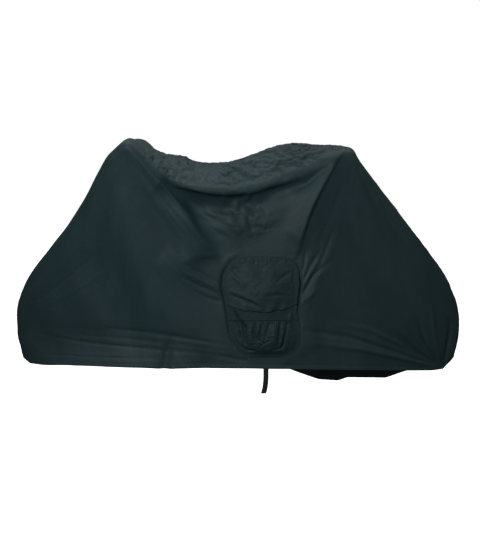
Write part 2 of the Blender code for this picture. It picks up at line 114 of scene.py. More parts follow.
# Folds, seen from the side: the line of each, its half width at both ends, and how far it stands out, or in where
# that is negative. Each dies away at its ends. The solids have most of these folds too, some less deep or less sharp.
NEAR_FOLDS = [
    ("hollow under the edge of the top",
     [(-0.318, 0.905), (-0.245, 0.858), (-0.17, 0.82), (-0.06, 0.8), (0.085, 0.822), (0.2, 0.88)], 0.044, 0.04, -0.029),
    ("hollow before the saddle", [(0.085, 0.856), (0.188, 0.882), (0.262, 0.91), (0.31, 0.95), (0.365, 0.992)],
     0.024, 0.02, -0.014),
    ("ridge from the grip to the pocket",
     [(-0.45, 1.07), (-0.388, 1.003), (-0.318, 0.925), (-0.24, 0.834), (-0.188, 0.745), (-0.08, 0.585)],
     0.022, 0.032, 0.012),
    ("hollow behind the grip ridge", [(-0.3, 0.915), (-0.215, 0.85), (-0.128, 0.76), (-0.02, 0.65)],
     0.034, 0.034, -0.015),
    ("flat cloth before the pocket", [(-0.33, 0.82), (-0.27, 0.56), (-0.2, 0.34)], 0.09, 0.09, -0.003),
    ("swell under the grip",
     [(-0.44, 1.025), (-0.375, 0.945), (-0.308, 0.865), (-0.232, 0.76), (-0.175, 0.66), (-0.11, 0.54)],
     0.045, 0.055, 0.009),
    ("ridge from the saddle to the pocket",
     [(0.402, 1.03), (0.378, 0.995), (0.322, 0.89), (0.285, 0.82), (0.256, 0.741), (0.208, 0.619)], 0.046, 0.06, 0.03),
    ("hollow behind the saddle ridge", [(0.43, 0.98), (0.375, 0.85), (0.322, 0.73), (0.272, 0.6), (0.262, 0.5)],
     0.026, 0.03, -0.002),
    ("hollow along the front edge", [(-0.498, 0.994), (-0.609, 0.805), (-0.726, 0.646), (-0.848, 0.478)],
     0.028, 0.034, -0.009),
    ("ray from the front end", [(-0.845, 0.41), (-0.719, 0.507), (-0.54, 0.65)], 0.024, 0.04, -0.003),
    ("long hollow over the front hem", [(-0.72, 0.312), (-0.48, 0.318), (-0.25, 0.302), (-0.04, 0.272)],
     0.022, 0.022, -0.002),
    ("flare of the front hem", [(-0.88, 0.16), (-0.7, 0.172), (-0.45, 0.176), (-0.15, 0.172)], 0.08, 0.055, 0.03),
    ("low ray from the back end", [(0.8, 0.172), (0.625, 0.218), (0.44, 0.262), (0.29, 0.29)], 0.022, 0.03, 0.003),
    ("middle ray from the back end", [(0.81, 0.175), (0.664, 0.25), (0.518, 0.321), (0.34, 0.372)],
     0.022, 0.034, -0.004),
    ("high ray from the back end", [(0.815, 0.185), (0.74, 0.29), (0.69, 0.4)], 0.022, 0.034, 0.004),
    ("hollow along the back edge", [(0.498, 0.915), (0.624, 0.734), (0.745, 0.584)], 0.026, 0.03, -0.007),
]
FAR_FOLDS = [
    ("ridge from the grip", [(-0.38, 0.99), (-0.26, 0.76), (-0.12, 0.5)], 0.036, 0.046, 0.012),
    ("hollow under the edge of the top", [(-0.3, 0.9), (-0.12, 0.8), (0.06, 0.79), (0.25, 0.88)], 0.04, 0.04, -0.018),
    ("ridge from the saddle", [(0.4, 1.0), (0.29, 0.72), (0.2, 0.42)], 0.034, 0.046, 0.014),
    ("hollow behind the saddle ridge", [(0.44, 0.93), (0.37, 0.7), (0.31, 0.45)], 0.036, 0.046, -0.01),
    ("hollow along the front edge", [(-0.52, 0.95), (-0.65, 0.74), (-0.8, 0.54)], 0.036, 0.036, -0.008),
    ("long hollow over the hem", [(-0.7, 0.3), (-0.35, 0.29), (0.05, 0.25)], 0.03, 0.032, -0.009),
    ("ray from the back end", [(0.78, 0.19), (0.56, 0.29), (0.36, 0.36)], 0.03, 0.04, -0.01),
    ("high ray from the back end", [(0.8, 0.24), (0.7, 0.4), (0.6, 0.52)], 0.03, 0.04, 0.008),
]

# Creases that are too fine for the solids, listed in the same way.
NEAR_CREASES = [
    ("first sag under the lip", [(-0.25, 0.848), (-0.15, 0.795), (-0.02, 0.772), (0.08, 0.79)], 0.008, 0.009, 0.003),
    ("second sag", [(-0.214, 0.827), (-0.098, 0.761), (0.002, 0.722)], 0.007, 0.009, -0.0032),
    ("third sag", [(-0.19, 0.8), (-0.1, 0.735), (-0.01, 0.69)], 0.007, 0.009, 0.0026),
    ("fourth sag", [(-0.101, 0.788), (-0.027, 0.707), (0.041, 0.635)], 0.007, 0.009, -0.003),
    ("crest of the grip ridge",
     [(-0.43, 1.055), (-0.388, 1.003), (-0.318, 0.925), (-0.242, 0.834), (-0.19, 0.745), (-0.084, 0.585)],
     0.006, 0.009, 0.003),
    ("line behind that crest", [(-0.44, 1.078), (-0.38, 1.01), (-0.31, 0.932), (-0.262, 0.88), (-0.21, 0.812)],
     0.007, 0.011, -0.0085),
    ("grip ridge ray 1", [(-0.385, 0.955), (-0.299, 0.847), (-0.21, 0.736), (-0.11, 0.612)], 0.006, 0.008, -0.002),
    ("grip ridge ray 2", [(-0.395, 0.925), (-0.32, 0.83), (-0.235, 0.71), (-0.14, 0.595)], 0.007, 0.01, 0.0008),
    ("grip ridge ray 3", [(-0.385, 0.93), (-0.35, 0.8), (-0.29, 0.68)], 0.008, 0.012, -0.0004),
    ("swell before the pocket", [(-0.31, 0.63), (-0.15, 0.535), (-0.07, 0.47)], 0.055, 0.05, 0.011),
    ("pocket ray 1", [(-0.221, 0.597), (-0.14, 0.546), (-0.066, 0.504)], 0.007, 0.006, -0.004),
    ("ridge below it", [(-0.235, 0.572), (-0.15, 0.522), (-0.068, 0.484)], 0.007, 0.006, 0.0032),
    ("pocket ray 2", [(-0.238, 0.548), (-0.155, 0.5), (-0.07, 0.464)], 0.007, 0.006, -0.0038),
    ("pocket ray 3", [(-0.19, 0.488), (-0.13, 0.455), (-0.062, 0.436)], 0.007, 0.006, -0.003),
    ("saddle rib 1", [(0.396, 0.915), (0.348, 0.778), (0.293, 0.663), (0.258, 0.569)], 0.008, 0.01, 0.001),
    ("hollow between ribs", [(0.383, 0.744), (0.335, 0.626), (0.295, 0.544), (0.241, 0.438)], 0.007, 0.009, -0.0024),
    ("saddle rib 2", [(0.375, 0.684), (0.326, 0.559), (0.274, 0.441), (0.26, 0.371)], 0.008, 0.01, 0.0018),
    ("saddle rib 3", [(0.4, 0.74), (0.365, 0.62), (0.33, 0.52)], 0.008, 0.01, 0.0012),
    ("crest of the saddle ridge",
     [(0.408, 1.03), (0.383, 0.997), (0.326, 0.89), (0.289, 0.82), (0.26, 0.741), (0.212, 0.619)], 0.007, 0.009, 0.003),
    ("pocket pull 1", [(0.226, 0.436), (0.262, 0.49), (0.292, 0.542), (0.372, 0.603)], 0.006, 0.008, -0.005),
    ("pocket pull 2", [(0.232, 0.47), (0.28, 0.578), (0.329, 0.652)], 0.006, 0.008, -0.0045),
    ("pocket pull 3", [(0.236, 0.52), (0.256, 0.58), (0.262, 0.65)], 0.006, 0.007, -0.0035),
    ("pull between them", [(0.236, 0.47), (0.275, 0.545), (0.325, 0.61)], 0.006, 0.008, 0.0035),
    ("pull below them", [(0.232, 0.42), (0.268, 0.452), (0.33, 0.5)], 0.006, 0.009, 0.003),
    ("crease down the bright face", [(0.352, 0.979), (0.246, 0.819), (0.192, 0.658)], 0.007, 0.01, -0.0012),
    ("back end ray 1", [(0.807, 0.159), (0.625, 0.23), (0.44, 0.291), (0.236, 0.328)], 0.006, 0.01, -0.0075),
    ("back end ray 2", [(0.806, 0.159), (0.647, 0.202), (0.482, 0.242), (0.275, 0.272)], 0.006, 0.01, 0.0056),
    ("back end ray 3", [(0.815, 0.16), (0.664, 0.25), (0.518, 0.321), (0.375, 0.349)], 0.006, 0.01, 0.0056),
    ("back end ray 4", [(0.815, 0.16), (0.693, 0.237), (0.626, 0.311)], 0.007, 0.01, -0.009),
    ("back end ray 5", [(0.82, 0.161), (0.752, 0.267), (0.718, 0.369)], 0.007, 0.011, -0.009),
    ("back end ray 6", [(0.825, 0.158), (0.793, 0.286), (0.779, 0.43)], 0.006, 0.012, 0.005),
    ("back end ray 7", [(0.836, 0.159), (0.854, 0.268), (0.861, 0.366)], 0.007, 0.011, -0.007),
    ("front hem line 1", [(-0.541, 0.331), (-0.355, 0.316), (-0.202, 0.294), (-0.045, 0.266)], 0.0045, 0.0045, -0.0044),
    ("front hem line 2", [(-0.725, 0.303), (-0.518, 0.295), (-0.275, 0.273), (-0.03, 0.242)], 0.005, 0.005, -0.002),
    ("front hem line 3", [(-0.874, 0.306), (-0.663, 0.276), (-0.466, 0.258), (-0.25, 0.243), (-0.062, 0.23)],
     0.0045, 0.0045, -0.0036),
    ("front hem line 4", [(-0.813, 0.217), (-0.479, 0.213), (-0.158, 0.212)], 0.005, 0.005, -0.002),
    ("dark line under the pocket", [(-0.11, 0.23), (0.02, 0.206), (0.16, 0.184), (0.27, 0.176)], 0.006, 0.008, -0.0044),
    ("upright hollow over the hem", [(-0.262, 0.318), (-0.286, 0.25), (-0.3, 0.17), (-0.305, 0.09)],
     0.016, 0.018, -0.0095),
    ("front edge 1", [(-0.498, 0.994), (-0.609, 0.805), (-0.726, 0.646), (-0.848, 0.478)], 0.009, 0.011, -0.0028),
    ("front edge 2", [(-0.466, 0.982), (-0.563, 0.825), (-0.655, 0.68)], 0.009, 0.012, 0.0022),
    ("front end ray 1", [(-0.851, 0.406), (-0.719, 0.507), (-0.54, 0.65)], 0.005, 0.008, -0.0016),
    ("front end ray 2", [(-0.853, 0.43), (-0.736, 0.551), (-0.593, 0.713)], 0.005, 0.008, 0.001),
    ("front end ray 3", [(-0.844, 0.39), (-0.676, 0.468), (-0.505, 0.58)], 0.005, 0.008, 0.001),
    ("back edge 1", [(0.465, 0.981), (0.53, 0.854), (0.577, 0.736)], 0.009, 0.012, -0.0022),
    ("back edge 2", [(0.498, 0.915), (0.624, 0.734), (0.745, 0.584)], 0.009, 0.012, 0.0024),
    ("back edge 3", [(0.557, 0.815), (0.667, 0.672), (0.779, 0.532)], 0.008, 0.012, -0.0022),
]
FAR_CREASES = [
    ("dark side of the grip ridge", [(-0.33, 0.96), (-0.21, 0.76), (-0.08, 0.52)], 0.01, 0.014, -0.005),
    ("lip", [(-0.3, 0.95), (-0.12, 0.86), (0.06, 0.86), (0.2, 0.91)], 0.01, 0.012, 0.003),
    ("sag under the lip", [(-0.22, 0.83), (-0.08, 0.74), (0.06, 0.73), (0.2, 0.8)], 0.012, 0.014, 0.004),
    ("second sag", [(-0.18, 0.76), (-0.06, 0.68), (0.06, 0.67)], 0.012, 0.014, -0.0035),
    ("dark side of the saddle ridge", [(0.42, 0.98), (0.33, 0.72), (0.24, 0.43)], 0.01, 0.014, -0.0055),
    ("rib behind it", [(0.43, 0.9), (0.37, 0.69), (0.3, 0.44)], 0.009, 0.013, 0.004),
    ("back end ray 1", [(0.8, 0.18), (0.62, 0.22), (0.4, 0.25)], 0.007, 0.014, 0.0034),
    ("back end ray 2", [(0.805, 0.185), (0.64, 0.27), (0.45, 0.35)], 0.007, 0.014, -0.0038),
    ("back end ray 3", [(0.815, 0.19), (0.74, 0.32), (0.69, 0.44)], 0.007, 0.012, -0.0036),
    ("back end ray 4", [(0.828, 0.19), (0.8, 0.33), (0.79, 0.45)], 0.007, 0.012, 0.0032),
    ("front edge", [(-0.5, 0.98), (-0.62, 0.78), (-0.76, 0.59)], 0.009, 0.012, 0.0026),
    ("back edge", [(0.5, 0.9), (0.62, 0.72), (0.74, 0.57)], 0.009, 0.012, -0.0024),
    ("hem line 1", [(-0.76, 0.26), (-0.4, 0.25), (0.06, 0.215)], 0.008, 0.009, 0.003),
    ("hem line 2", [(-0.8, 0.3), (-0.45, 0.3), (0.0, 0.265)], 0.007, 0.009, -0.0034),
    ("front end ray 1", [(-0.85, 0.4), (-0.7, 0.5), (-0.52, 0.64)], 0.007, 0.014, -0.0026),
    ("front end ray 2", [(-0.85, 0.42), (-0.72, 0.56), (-0.59, 0.7)], 0.007, 0.014, 0.0022),
]


# Sharp edges, behind which the cloth falls back: to the right of each line, going along it, and of all its lines
# where an edge has two. It falls over the turn, comes out again over the reach, and the depth comes last.
NEAR_EDGES = [
    ("edge of the top and grip ridge",
     [[(-0.47, 1.095), (-0.4, 1.025), (-0.34, 0.97), (-0.282, 0.931), (-0.21, 0.904), (-0.127, 0.882),
       (-0.05, 0.876), (0.028, 0.882), (0.106, 0.902), (0.189, 0.929), (0.24, 0.952)],
      [(-0.085, 0.59), (-0.121, 0.647), (-0.182, 0.736), (-0.206, 0.791), (-0.233, 0.83), (-0.277, 0.875),
       (-0.314, 0.918), (-0.364, 0.972), (-0.44, 1.055), (-0.48, 1.1)]],
     0.034, 0.075, 0.013),
    ("saddle ridge",
     [[(0.205, 0.59), (0.233, 0.647), (0.266, 0.769), (0.294, 0.836), (0.328, 0.902), (0.383, 0.998), (0.42, 1.05)]],
     0.015, 0.05, 0.008),
    ("kink before the saddle",
     [[(0.12, 0.868), (0.195, 0.895), (0.256, 0.917), (0.292, 0.95), (0.35, 0.992)]],
     0.014, 0.03, 0.006),
]
FOLD_END = 0.7                   # the lower, the nearer to its ends a fold dies away
EDGE_END = 0.5


def between(rows, at):
    """A smooth curve through rows of numbers, read at the row numbers in at."""
    ends = np.vstack([2 * rows[0] - rows[1], rows, 2 * rows[-1] - rows[-2]])
    row = np.clip(np.floor(at).astype(int), 0, len(rows) - 2)
    t = (at - row)[:, None]
    a, b, c, d = (ends[row + i] for i in range(4))
    return b + 0.5 * t * (c - a + t * (2 * a - 5 * b + 4 * c - d + t * (3 * (b - c) + d - a)))


def ease(x):
    """0 below 0 and 1 above 1, with a smooth step between."""
    x = np.clip(x, 0, 1)
    return x * x * (3 - 2 * x)


COLUMN_PLACES = [(0.0, 0), (0.24, 10), (0.76, 20), (1.0, 29)]   # share of the columns used up, at section numbers
BELLY_RISE = 0.7                 # below 1, so a belly is fullest above the middle of the side


def rails(columns, side):
    """The seam, the edge of the top, the hem and the belly at each column; side is -1 near and 1 far."""
    rows = np.array([row[1:] for row in SECTIONS])
    places = np.interp(np.linspace(0, 1, columns + 1), *np.transpose(COLUMN_PLACES))
    seam_x, seam_z, edge_x, edge_y, edge_z, hem_x, hem_y, hem_z, belly = between(rows, places).T
    if side > 0:
        far = np.array(FAR_SIDE)
        edge_x = edge_x + np.interp(edge_x, far[:, 0], far[:, 1])
        edge_z = edge_z + np.interp(edge_x, far[:, 0], far[:, 2])
        hem_z = hem_z - np.interp(hem_x, far[:, 0], far[:, 3])
        belly = belly + np.interp(edge_x, far[:, 0], far[:, 4])
    seam = np.stack([seam_x, np.zeros_like(seam_x), seam_z], axis=1)
    edge = np.stack([edge_x, -side * edge_y, edge_z], axis=1)
    hem = np.stack([hem_x, -side * hem_y, hem_z], axis=1)
    return seam, edge, hem, side * belly


def sheet_points(columns, rows, side):
    """The outer face of a panel without folds, as a grid: one column for each section, from the seam to the hem."""
    seam, edge, hem, belly = rails(columns, side)
    top_length = np.linalg.norm(edge - seam, axis=1)[:, None]
    side_length = np.linalg.norm(hem - edge, axis=1)[:, None]
    turn_from = edge + (seam - edge) * np.minimum(CORNER / top_length, MOST_CORNER)
    turn_to = edge + (hem - edge) * np.minimum(CORNER / side_length, MOST_CORNER)
    lines = []
    for t in np.linspace(0, 1, rows[0] + 1)[:-1]:
        crown = CROWN * np.sin(np.pi * t) * top_length[:, 0] / top_length.max()
        lines.append(seam + (turn_from - seam) * t + crown[:, None] * [0, 0, 1])
    for t in np.linspace(0, 1, rows[1] + 1)[:-1]:
        lines.append((1 - t) ** 2 * turn_from + 2 * t * (1 - t) * edge + t**2 * turn_to)
    hem_share = HEM / side_length[:, 0]
    steps = [s * (1 - hem_share) for s in np.linspace(0, 1, rows[2] - 2)]
    for t in [*steps, *(1 - row * hem_share for row in HEM_ROWS), np.ones_like(hem_share)]:
        out = belly * np.sin(np.pi * t**BELLY_RISE)
        lines.append(turn_to + (hem - turn_to) * t[:, None] + out[:, None] * [0, 1, 0])
    return np.stack(lines, axis=1)


def outward(points, side):
    """Outward directions of a grid of points. Along the seam they lie in the middle plane."""
    along, down = np.gradient(points, axis=0), np.gradient(points, axis=1)
    n = np.cross(along, down) * side
    n[:, 0, 1] = 0
    return n / np.linalg.norm(n, axis=2, keepdims=True)


def beside(line, x, z):
    """How far places are from a line, how far along it as a share, and whether to the right of it."""
    line = np.array(line)
    steps = np.diff(line, axis=0)
    lengths = np.linalg.norm(steps, axis=1)
    reached = np.concatenate([[0], np.cumsum(lengths)]) / lengths.sum()
    nearest = np.full_like(x, np.inf)
    share = np.zeros_like(x)
    right = np.zeros_like(x, bool)
    for i, step in enumerate(steps):
        from_x, from_z = x - line[i, 0], z - line[i, 1]
        t = np.clip((from_x * step[0] + from_z * step[1]) / lengths[i] ** 2, 0, 1)
        away = np.hypot(from_x - t * step[0], from_z - t * step[1])
        share = np.where(away < nearest, reached[i] + t * (reached[i + 1] - reached[i]), share)
        right = np.where(away < nearest, from_x * step[1] > from_z * step[0], right)
        nearest = np.minimum(away, nearest)
    return nearest, share, right


def edge_height(x, z, edges):
    """How far sharp edges set a panel back at side-view places."""
    lift = np.zeros_like(x)
    for _, lines, turn, reach, depth in edges:
        inside = np.full_like(x, np.inf)
        fade = np.ones_like(x)
        for line in lines:
            nearest, share, right = beside(line, x, z)
            inside = np.minimum(inside, nearest * right)
            fade = np.minimum(fade, np.sin(np.pi * np.clip(share, 0, 1)) ** EDGE_END)
        back = ease(inside / turn) * (1 - ease((inside - turn) / reach))
        lift = np.minimum(lift, -depth * fade * back)
    return lift


def fold_height(x, z, folds):
    """How far folds lift a panel at side-view places."""
    lift = np.zeros_like(x)
    for _, line, width, end_width, out in folds:
        nearest, share, _ = beside(line, x, z)
        fade = np.sin(np.pi * np.clip(share, 0, 1)) ** FOLD_END
        lift += out * fade * np.exp(-((nearest / (width + (end_width - width) * share)) ** 2))
    return lift


# The near panel lies flat behind its storage pocket.
POCKET_X = 0.087
POCKET_Y = -0.170                # how far out its bed lies at the foot
POCKET_FOOT = 0.220              # height at which it does
POCKET_TURN = 0.060              # how much nearer the middle plane the bed gets per metre to the back
POCKET_LEAN = 0.065              # and per metre up
BED_MARGIN = 0.014               # how far it goes on round the pocket
BED_FADE = 0.090                 # over which it ends
BED_FRONT = 2.0                  # times as far at the front
POCKET_TOP, POCKET_BOTTOM = 0.622, 0.218
# Its outline: heights, with the x of its front and back edge there.
POCKET_OUTLINE = [
    (POCKET_TOP, 0.030, 0.160),
    (0.612, -0.005, 0.196),
    (0.592, -0.036, 0.220),
    (0.562, -0.060, 0.234),
    (0.510, -0.067, 0.237),
    (0.443, -0.055, 0.228),
    (0.400, -0.047, 0.226),
    (0.345, -0.040, 0.239),
    (0.290, -0.032, 0.240),
    (0.256, -0.016, 0.230),
    (0.230, 0.010, 0.204),
    (POCKET_BOTTOM, 0.040, 0.166),
]


def bed_y(x, z):
    """Where the flat bed of the pocket lies."""
    return POCKET_Y + POCKET_TURN * (x - POCKET_X) + POCKET_LEAN * (z - POCKET_FOOT)


def pocket_edges(z):
    """The pocket's front and back edge at heights z."""
    outline = np.array(POCKET_OUTLINE)[::-1]
    return np.interp(z, outline[:, 0], outline[:, 1]), np.interp(z, outline[:, 0], outline[:, 2])


def bed_share(x, z, margin, fade, front_fade=1.0):
    """1 on the pocket's bed and a margin round it, falling to 0 beyond."""
    front, back = pocket_edges(z)
    aside = np.maximum(np.maximum((front - x) / front_fade, x - back), 0)
    above = np.maximum(z - POCKET_TOP, 0)
    return 1 - ease((np.hypot(aside, above) - margin) / fade)


def ripple(a, b, seed, octaves=3):
    """Smooth unevenness, about -1 to 1, at places a, b counted in its own wavelengths."""
    places = np.stack([a, b], axis=-1).reshape(-1, 2)
    return np.array([noise.fractal(Vector((p, q, seed)), 1.0, 2.0, octaves) for p, q in places]).reshape(a.shape)


def cut_mesh(name, points, uv, side, marks):
    """A grid of points as a mesh piece with a UV map in metres of cloth, and named values on its points."""
    columns, rows = points.shape[:2]
    index = np.arange(columns * rows).reshape(columns, rows)
    quads = np.stack([index[:-1, :-1], index[:-1, 1:], index[1:, 1:], index[1:, :-1]], axis=-1).reshape(-1, 4)
    if side > 0:
        quads = quads[:, ::-1]
    mesh = bpy.data.meshes.new(name)
    mesh.from_pydata((points.reshape(-1, 3) - SADDLE).tolist(), [], quads.tolist())
    layer = mesh.uv_layers.new(name="cloth")
    layer.data.foreach_set("uv", uv.reshape(-1, 2)[quads.ravel()].astype(np.float32).ravel())
    for label, values in marks.items():
        mesh.attributes.new(label, "FLOAT", "POINT").data.foreach_set("value", values.astype(np.float32).ravel())
    mesh.update()
    mesh.shade_smooth()
    piece = bpy.data.objects.new(name, mesh)
    bpy.context.scene.collection.objects.link(piece)
    return piece


def cloth_uv(points):
    """Distances in metres along the first line of a grid and down from it."""
    down = np.linalg.norm(np.diff(points, axis=1), axis=2)
    down = np.concatenate([np.zeros((len(points), 1)), np.cumsum(down, axis=1)], axis=1)
    along = np.linalg.norm(np.diff(points, axis=0), axis=2).mean(axis=1)
    along = np.concatenate([[0], np.cumsum(along)])
    return np.stack([np.broadcast_to(along[:, None], down.shape), down], axis=-1)


def thicken(piece, thickness):
    """Give an outer face its cloth's thickness inward."""
    solid = piece.modifiers.new("cloth thickness", "SOLIDIFY")
    solid.thickness = thickness
    solid.offset = -1.0


# Where the panels have slack they buckle. A short cloth simulation lets that cloth grow a little.
GROWTH = 0.070                   # of the slackest cloth, in length
GRIP = 0.004                     # how much the shape underneath still holds free cloth
STEPS = 24
MOST_MOVED = 0.012
CLOTH_SETTINGS = {
    "quality": 4, "mass": 0.3, "air_damping": 1.0, "tension_stiffness": 15, "compression_stiffness": 15,
    "shear_stiffness": 5, "bending_stiffness": 20, "vertex_group_mass": "held", "pin_stiffness": 1.0,
    "vertex_group_shrink": "taut", "shrink_min": -GROWTH, "shrink_max": 0.0,
}
EDGE_ROWS = 3                    # rows of the hem, which don't move


def hang(piece, free, slack):
    """Let the cloth buckle where it is free, as far as its slack lets it."""
    held = np.where(free > 0.02, GRIP + (1 - GRIP) * (1 - free) ** 2, 1.0)
    held[:, 0] = held[:, -EDGE_ROWS:] = held[0] = held[-1] = 1
    for name, weights in (("held", held**0.25), ("taut", 1 - slack)):
        group = piece.vertex_groups.new(name=name)
        for i, weight in enumerate(weights.ravel()):
            group.add([i], float(weight), "REPLACE")
    before = np.empty(held.size * 3, np.float32)
    piece.data.vertices.foreach_get("co", before)
    cloth = piece.modifiers.new("hang", "CLOTH")
    for setting, value in CLOTH_SETTINGS.items():
        setattr(cloth.settings, setting, value)
    cloth.settings.effector_weights.gravity = 0
    cloth.collision_settings.use_collision = False
    cloth.collision_settings.use_self_collision = False
    cloth.point_cache.frame_start = 1
    cloth.point_cache.frame_end = STEPS + 1
    for step in range(1, STEPS + 1):
        bpy.context.scene.frame_set(step)
    with bpy.context.temp_override(object=piece, active_object=piece):
        bpy.ops.object.modifier_apply(modifier=cloth.name)
    bpy.context.scene.frame_set(1)
    after = np.empty_like(before)
    piece.data.vertices.foreach_get("co", after)
    moved = (after - before).reshape(-1, 3)
    length = np.linalg.norm(moved, axis=1, keepdims=True)
    moved *= np.minimum(1, MOST_MOVED / np.maximum(length, MOST_MOVED / 10))
    piece.data.vertices.foreach_set("co", before + moved.ravel())
    piece.vertex_groups.clear()
    piece.data.update()


def press_in(piece, lift):
    """Move a piece's points along their normals."""
    points, normals = (np.empty(lift.size * 3, np.float32) for _ in range(2))
    piece.data.vertices.foreach_get("co", points)
    piece.data.vertices.foreach_get("normal", normals)
    piece.data.vertices.foreach_set("co", points + normals * np.repeat(lift.ravel(), 3))
    piece.data.update()


TOP_SLACK = (-0.41, 0.47)        # where the top hangs slack
TOP_FADE = 0.08
TOP_ROWS = (4, 6)                # rows before its corner where that fades, and how many more than the corner's it takes
HOLLOW_FRONT = (-0.27, 0.97, 0.86)  # the slack hollow's: x and z of a place on it, and its slant to the back
HOLLOW_BACK = (0.17, 0.84, 0.28)
HOLLOW_FOOT = 0.60
HOLLOW_FADES = (0.06, 0.12, 0.10)   # at its front, back and foot


def slack_top(x, top_share):
    """1 where the top hangs slack between the grips and the saddle."""
    return top_share * ease((x - TOP_SLACK[0]) / TOP_FADE) * ease((TOP_SLACK[1] - x) / TOP_FADE)


def slack_hollow(x, z):
    """1 in the slack cloth between the two ridges that run down to the pocket."""
    front, back = (place + (height - z) * slant for place, height, slant in (HOLLOW_FRONT, HOLLOW_BACK))
    inside = ease((x - front) / HOLLOW_FADES[0]) * ease((back - x) / HOLLOW_FADES[1])
    return inside * ease((z - HOLLOW_FOOT) / HOLLOW_FADES[2])


HOLLOW_SLACK = 0.35              # of the top's
PATCHES = (0.65, 0.25)           # the slack is uneven: its middle and least share
PATCH_SIZE = (0.110, 0.090)
CRINKLE = (0.003, 0.042, 0.042)  # height and wavelengths of the top's first crinkles, which the simulation sharpens
SAG = (0.005, 0.120, 0.048)      # of the hollow's, which are longer than they are high
SAG_SLANT = 3
WAVER = (0.0016, 0.130, 0.110)   # of the unevenness of all the cloth
PUCKER = (0.0034, 0.026, 0.090)  # of the puckers along the seam
PUCKER_SLANT = 0.35
PUCKER_FROM, PUCKER_TO = 0.010, 0.070
FOIL = (0.0025, 0.036, 0.034)    # of the sharp facets pressed into the slack cloth afterwards
FOIL_TURNS = 1.6                 # how often they turn back
FOIL_HOLLOW = 0.7                # of the top's
FREE_FROM = 0.03                 # how far from the seam folds are at their full height
CREASE_FADE = 0.025              # and creases, from the pocket


def side_panel(name, columns, rows, side, folds, creases, edges, grooves):
    """A hanging panel as a sheet with its folds, creases and crinkles."""
    points = sheet_points(columns, rows, side)
    uv = cloth_uv(points)
    u, v = uv[..., 0], uv[..., 1]
    x, z = points[..., 0], points[..., 2]
    bed = bed_share(x, z, BED_MARGIN, BED_FADE, BED_FRONT) if side < 0 else np.zeros_like(x)
    row = np.arange(points.shape[1])[None, :]
    top = slack_top(x, 1 - ease((row - rows[0] + TOP_ROWS[0]) / (rows[1] + TOP_ROWS[1]))) * (1 - bed)
    hollow = slack_hollow(x, z) * (1 - bed) * (1 - top)
    lift = fold_height(x, z, folds)
    lift += WAVER[0] * ripple(u / WAVER[1], v / WAVER[2], 3.5 * side)
    lift += CRINKLE[0] * top * ripple(u / CRINKLE[1], v / CRINKLE[2], 0.5 * side)
    lift += SAG[0] * hollow * ripple(u / SAG[1] + SAG_SLANT * v, v / SAG[2], 1.5 * side)
    near_seam = ease(v / PUCKER_FROM) * (1 - ease((v - PUCKER_FROM) / (PUCKER_TO - PUCKER_FROM)))
    lift += PUCKER[0] * near_seam * ripple((u + PUCKER_SLANT * v) / PUCKER[1], v / PUCKER[2], 5.5 * side, 2)
    free = ease(v / FREE_FROM)
    points = points + outward(points, side) * (lift * (1 - bed) * free)[..., None]
    points[..., 1] += (bed_y(points[..., 0], points[..., 2]) - points[..., 1]) * bed
    x, z = points[..., 0], points[..., 2]
    behind_pocket = bed_share(x, z, 0.0, CREASE_FADE) if side < 0 else np.zeros_like(x)
    fine = (fold_height(x, z, creases) + edge_height(x, z, edges)) * (1 - behind_pocket) * free
    fine += fold_height(x, z, grooves)
    points = points + outward(points, side) * fine[..., None]
    hem = np.zeros_like(x)
    hem[:, -EDGE_ROWS:] = 1
    points = points + outward(points, side) * (HEM_PROUD * hem)[..., None]
    patch = np.clip(PATCHES[0] + ripple(u / PATCH_SIZE[0], v / PATCH_SIZE[1], 7.5 * side, 1), PATCHES[1], 1)
    slack = np.maximum(top, HOLLOW_SLACK * hollow)
    edge = v[:, -1:] - v
    piece = cut_mesh(name, points, uv, side, {"slack": slack, "edge": edge})
    hang(piece, np.maximum(top, hollow), slack * patch)
    facets = ripple(u / FOIL[1], v / FOIL[2], 11.5 * side, 2) * FOIL_TURNS
    facets = np.abs(facets - np.round(facets)) * 4 - 1
    press_in(piece, FOIL[0] * np.maximum(top, FOIL_HOLLOW * hollow) * facets * patch)
    thicken(piece, CLOTH)
    return piece


NEAR_GRID = (330, (34, 8, 104))
FAR_GRID = (300, (28, 6, 88))
POCKET_GROOVES = [
    ("groove along the pocket's front",
     [(0.01, POCKET_TOP), (-0.036, 0.595), (-0.066, 0.545), (-0.07, 0.5), (-0.058, 0.44), (-0.048, 0.39),
      (-0.04, 0.32), (-0.02, 0.25)], 0.008, 0.008, -0.0105),
    ("groove along the pocket's back",
     [(0.205, 0.61), (0.238, 0.565), (0.24, 0.5), (0.23, 0.43), (0.232, 0.39), (0.244, 0.33)], 0.008, 0.008, -0.01),
]
side_near = side_panel("cover_side_near", *NEAR_GRID, -1, NEAR_FOLDS, NEAR_CREASES, NEAR_EDGES, POCKET_GROOVES)
side_far = side_panel("cover_side_far", *FAR_GRID, 1, FAR_FOLDS, FAR_CREASES, [], [])


class Wire:
    """The output of a shader node. Arithmetic with wires makes Math nodes."""

    def __init__(self, output):
        self.output = output

    def node(self, kind, inputs=(), out=0, **settings):
        """Add another node to the material, with its inputs given by name or number."""
        tree = self.output.id_data
        made = tree.nodes.new("ShaderNode" + kind)
        for name, value in settings.items():
            setattr(made, name, value)
        for name, value in dict(inputs).items():
            if isinstance(value, Wire):
                tree.links.new(value.output, made.inputs[name])
            else:
                made.inputs[name].default_value = value
        return Wire(made.outputs[out])

    def maths(self, operation, *others):
        return self.node("Math", enumerate((self, *others)), operation=operation)

    def __add__(self, other):
        return self.maths("ADD", other)

    def __sub__(self, other):
        return self.maths("SUBTRACT", other)

    def __rsub__(self, other):
        return self * -1.0 + other

    def __mul__(self, other):
        return self.maths("MULTIPLY", other)

    def __truediv__(self, other):
        return self.maths("DIVIDE", other)

    __radd__ = __add__
    __rmul__ = __mul__


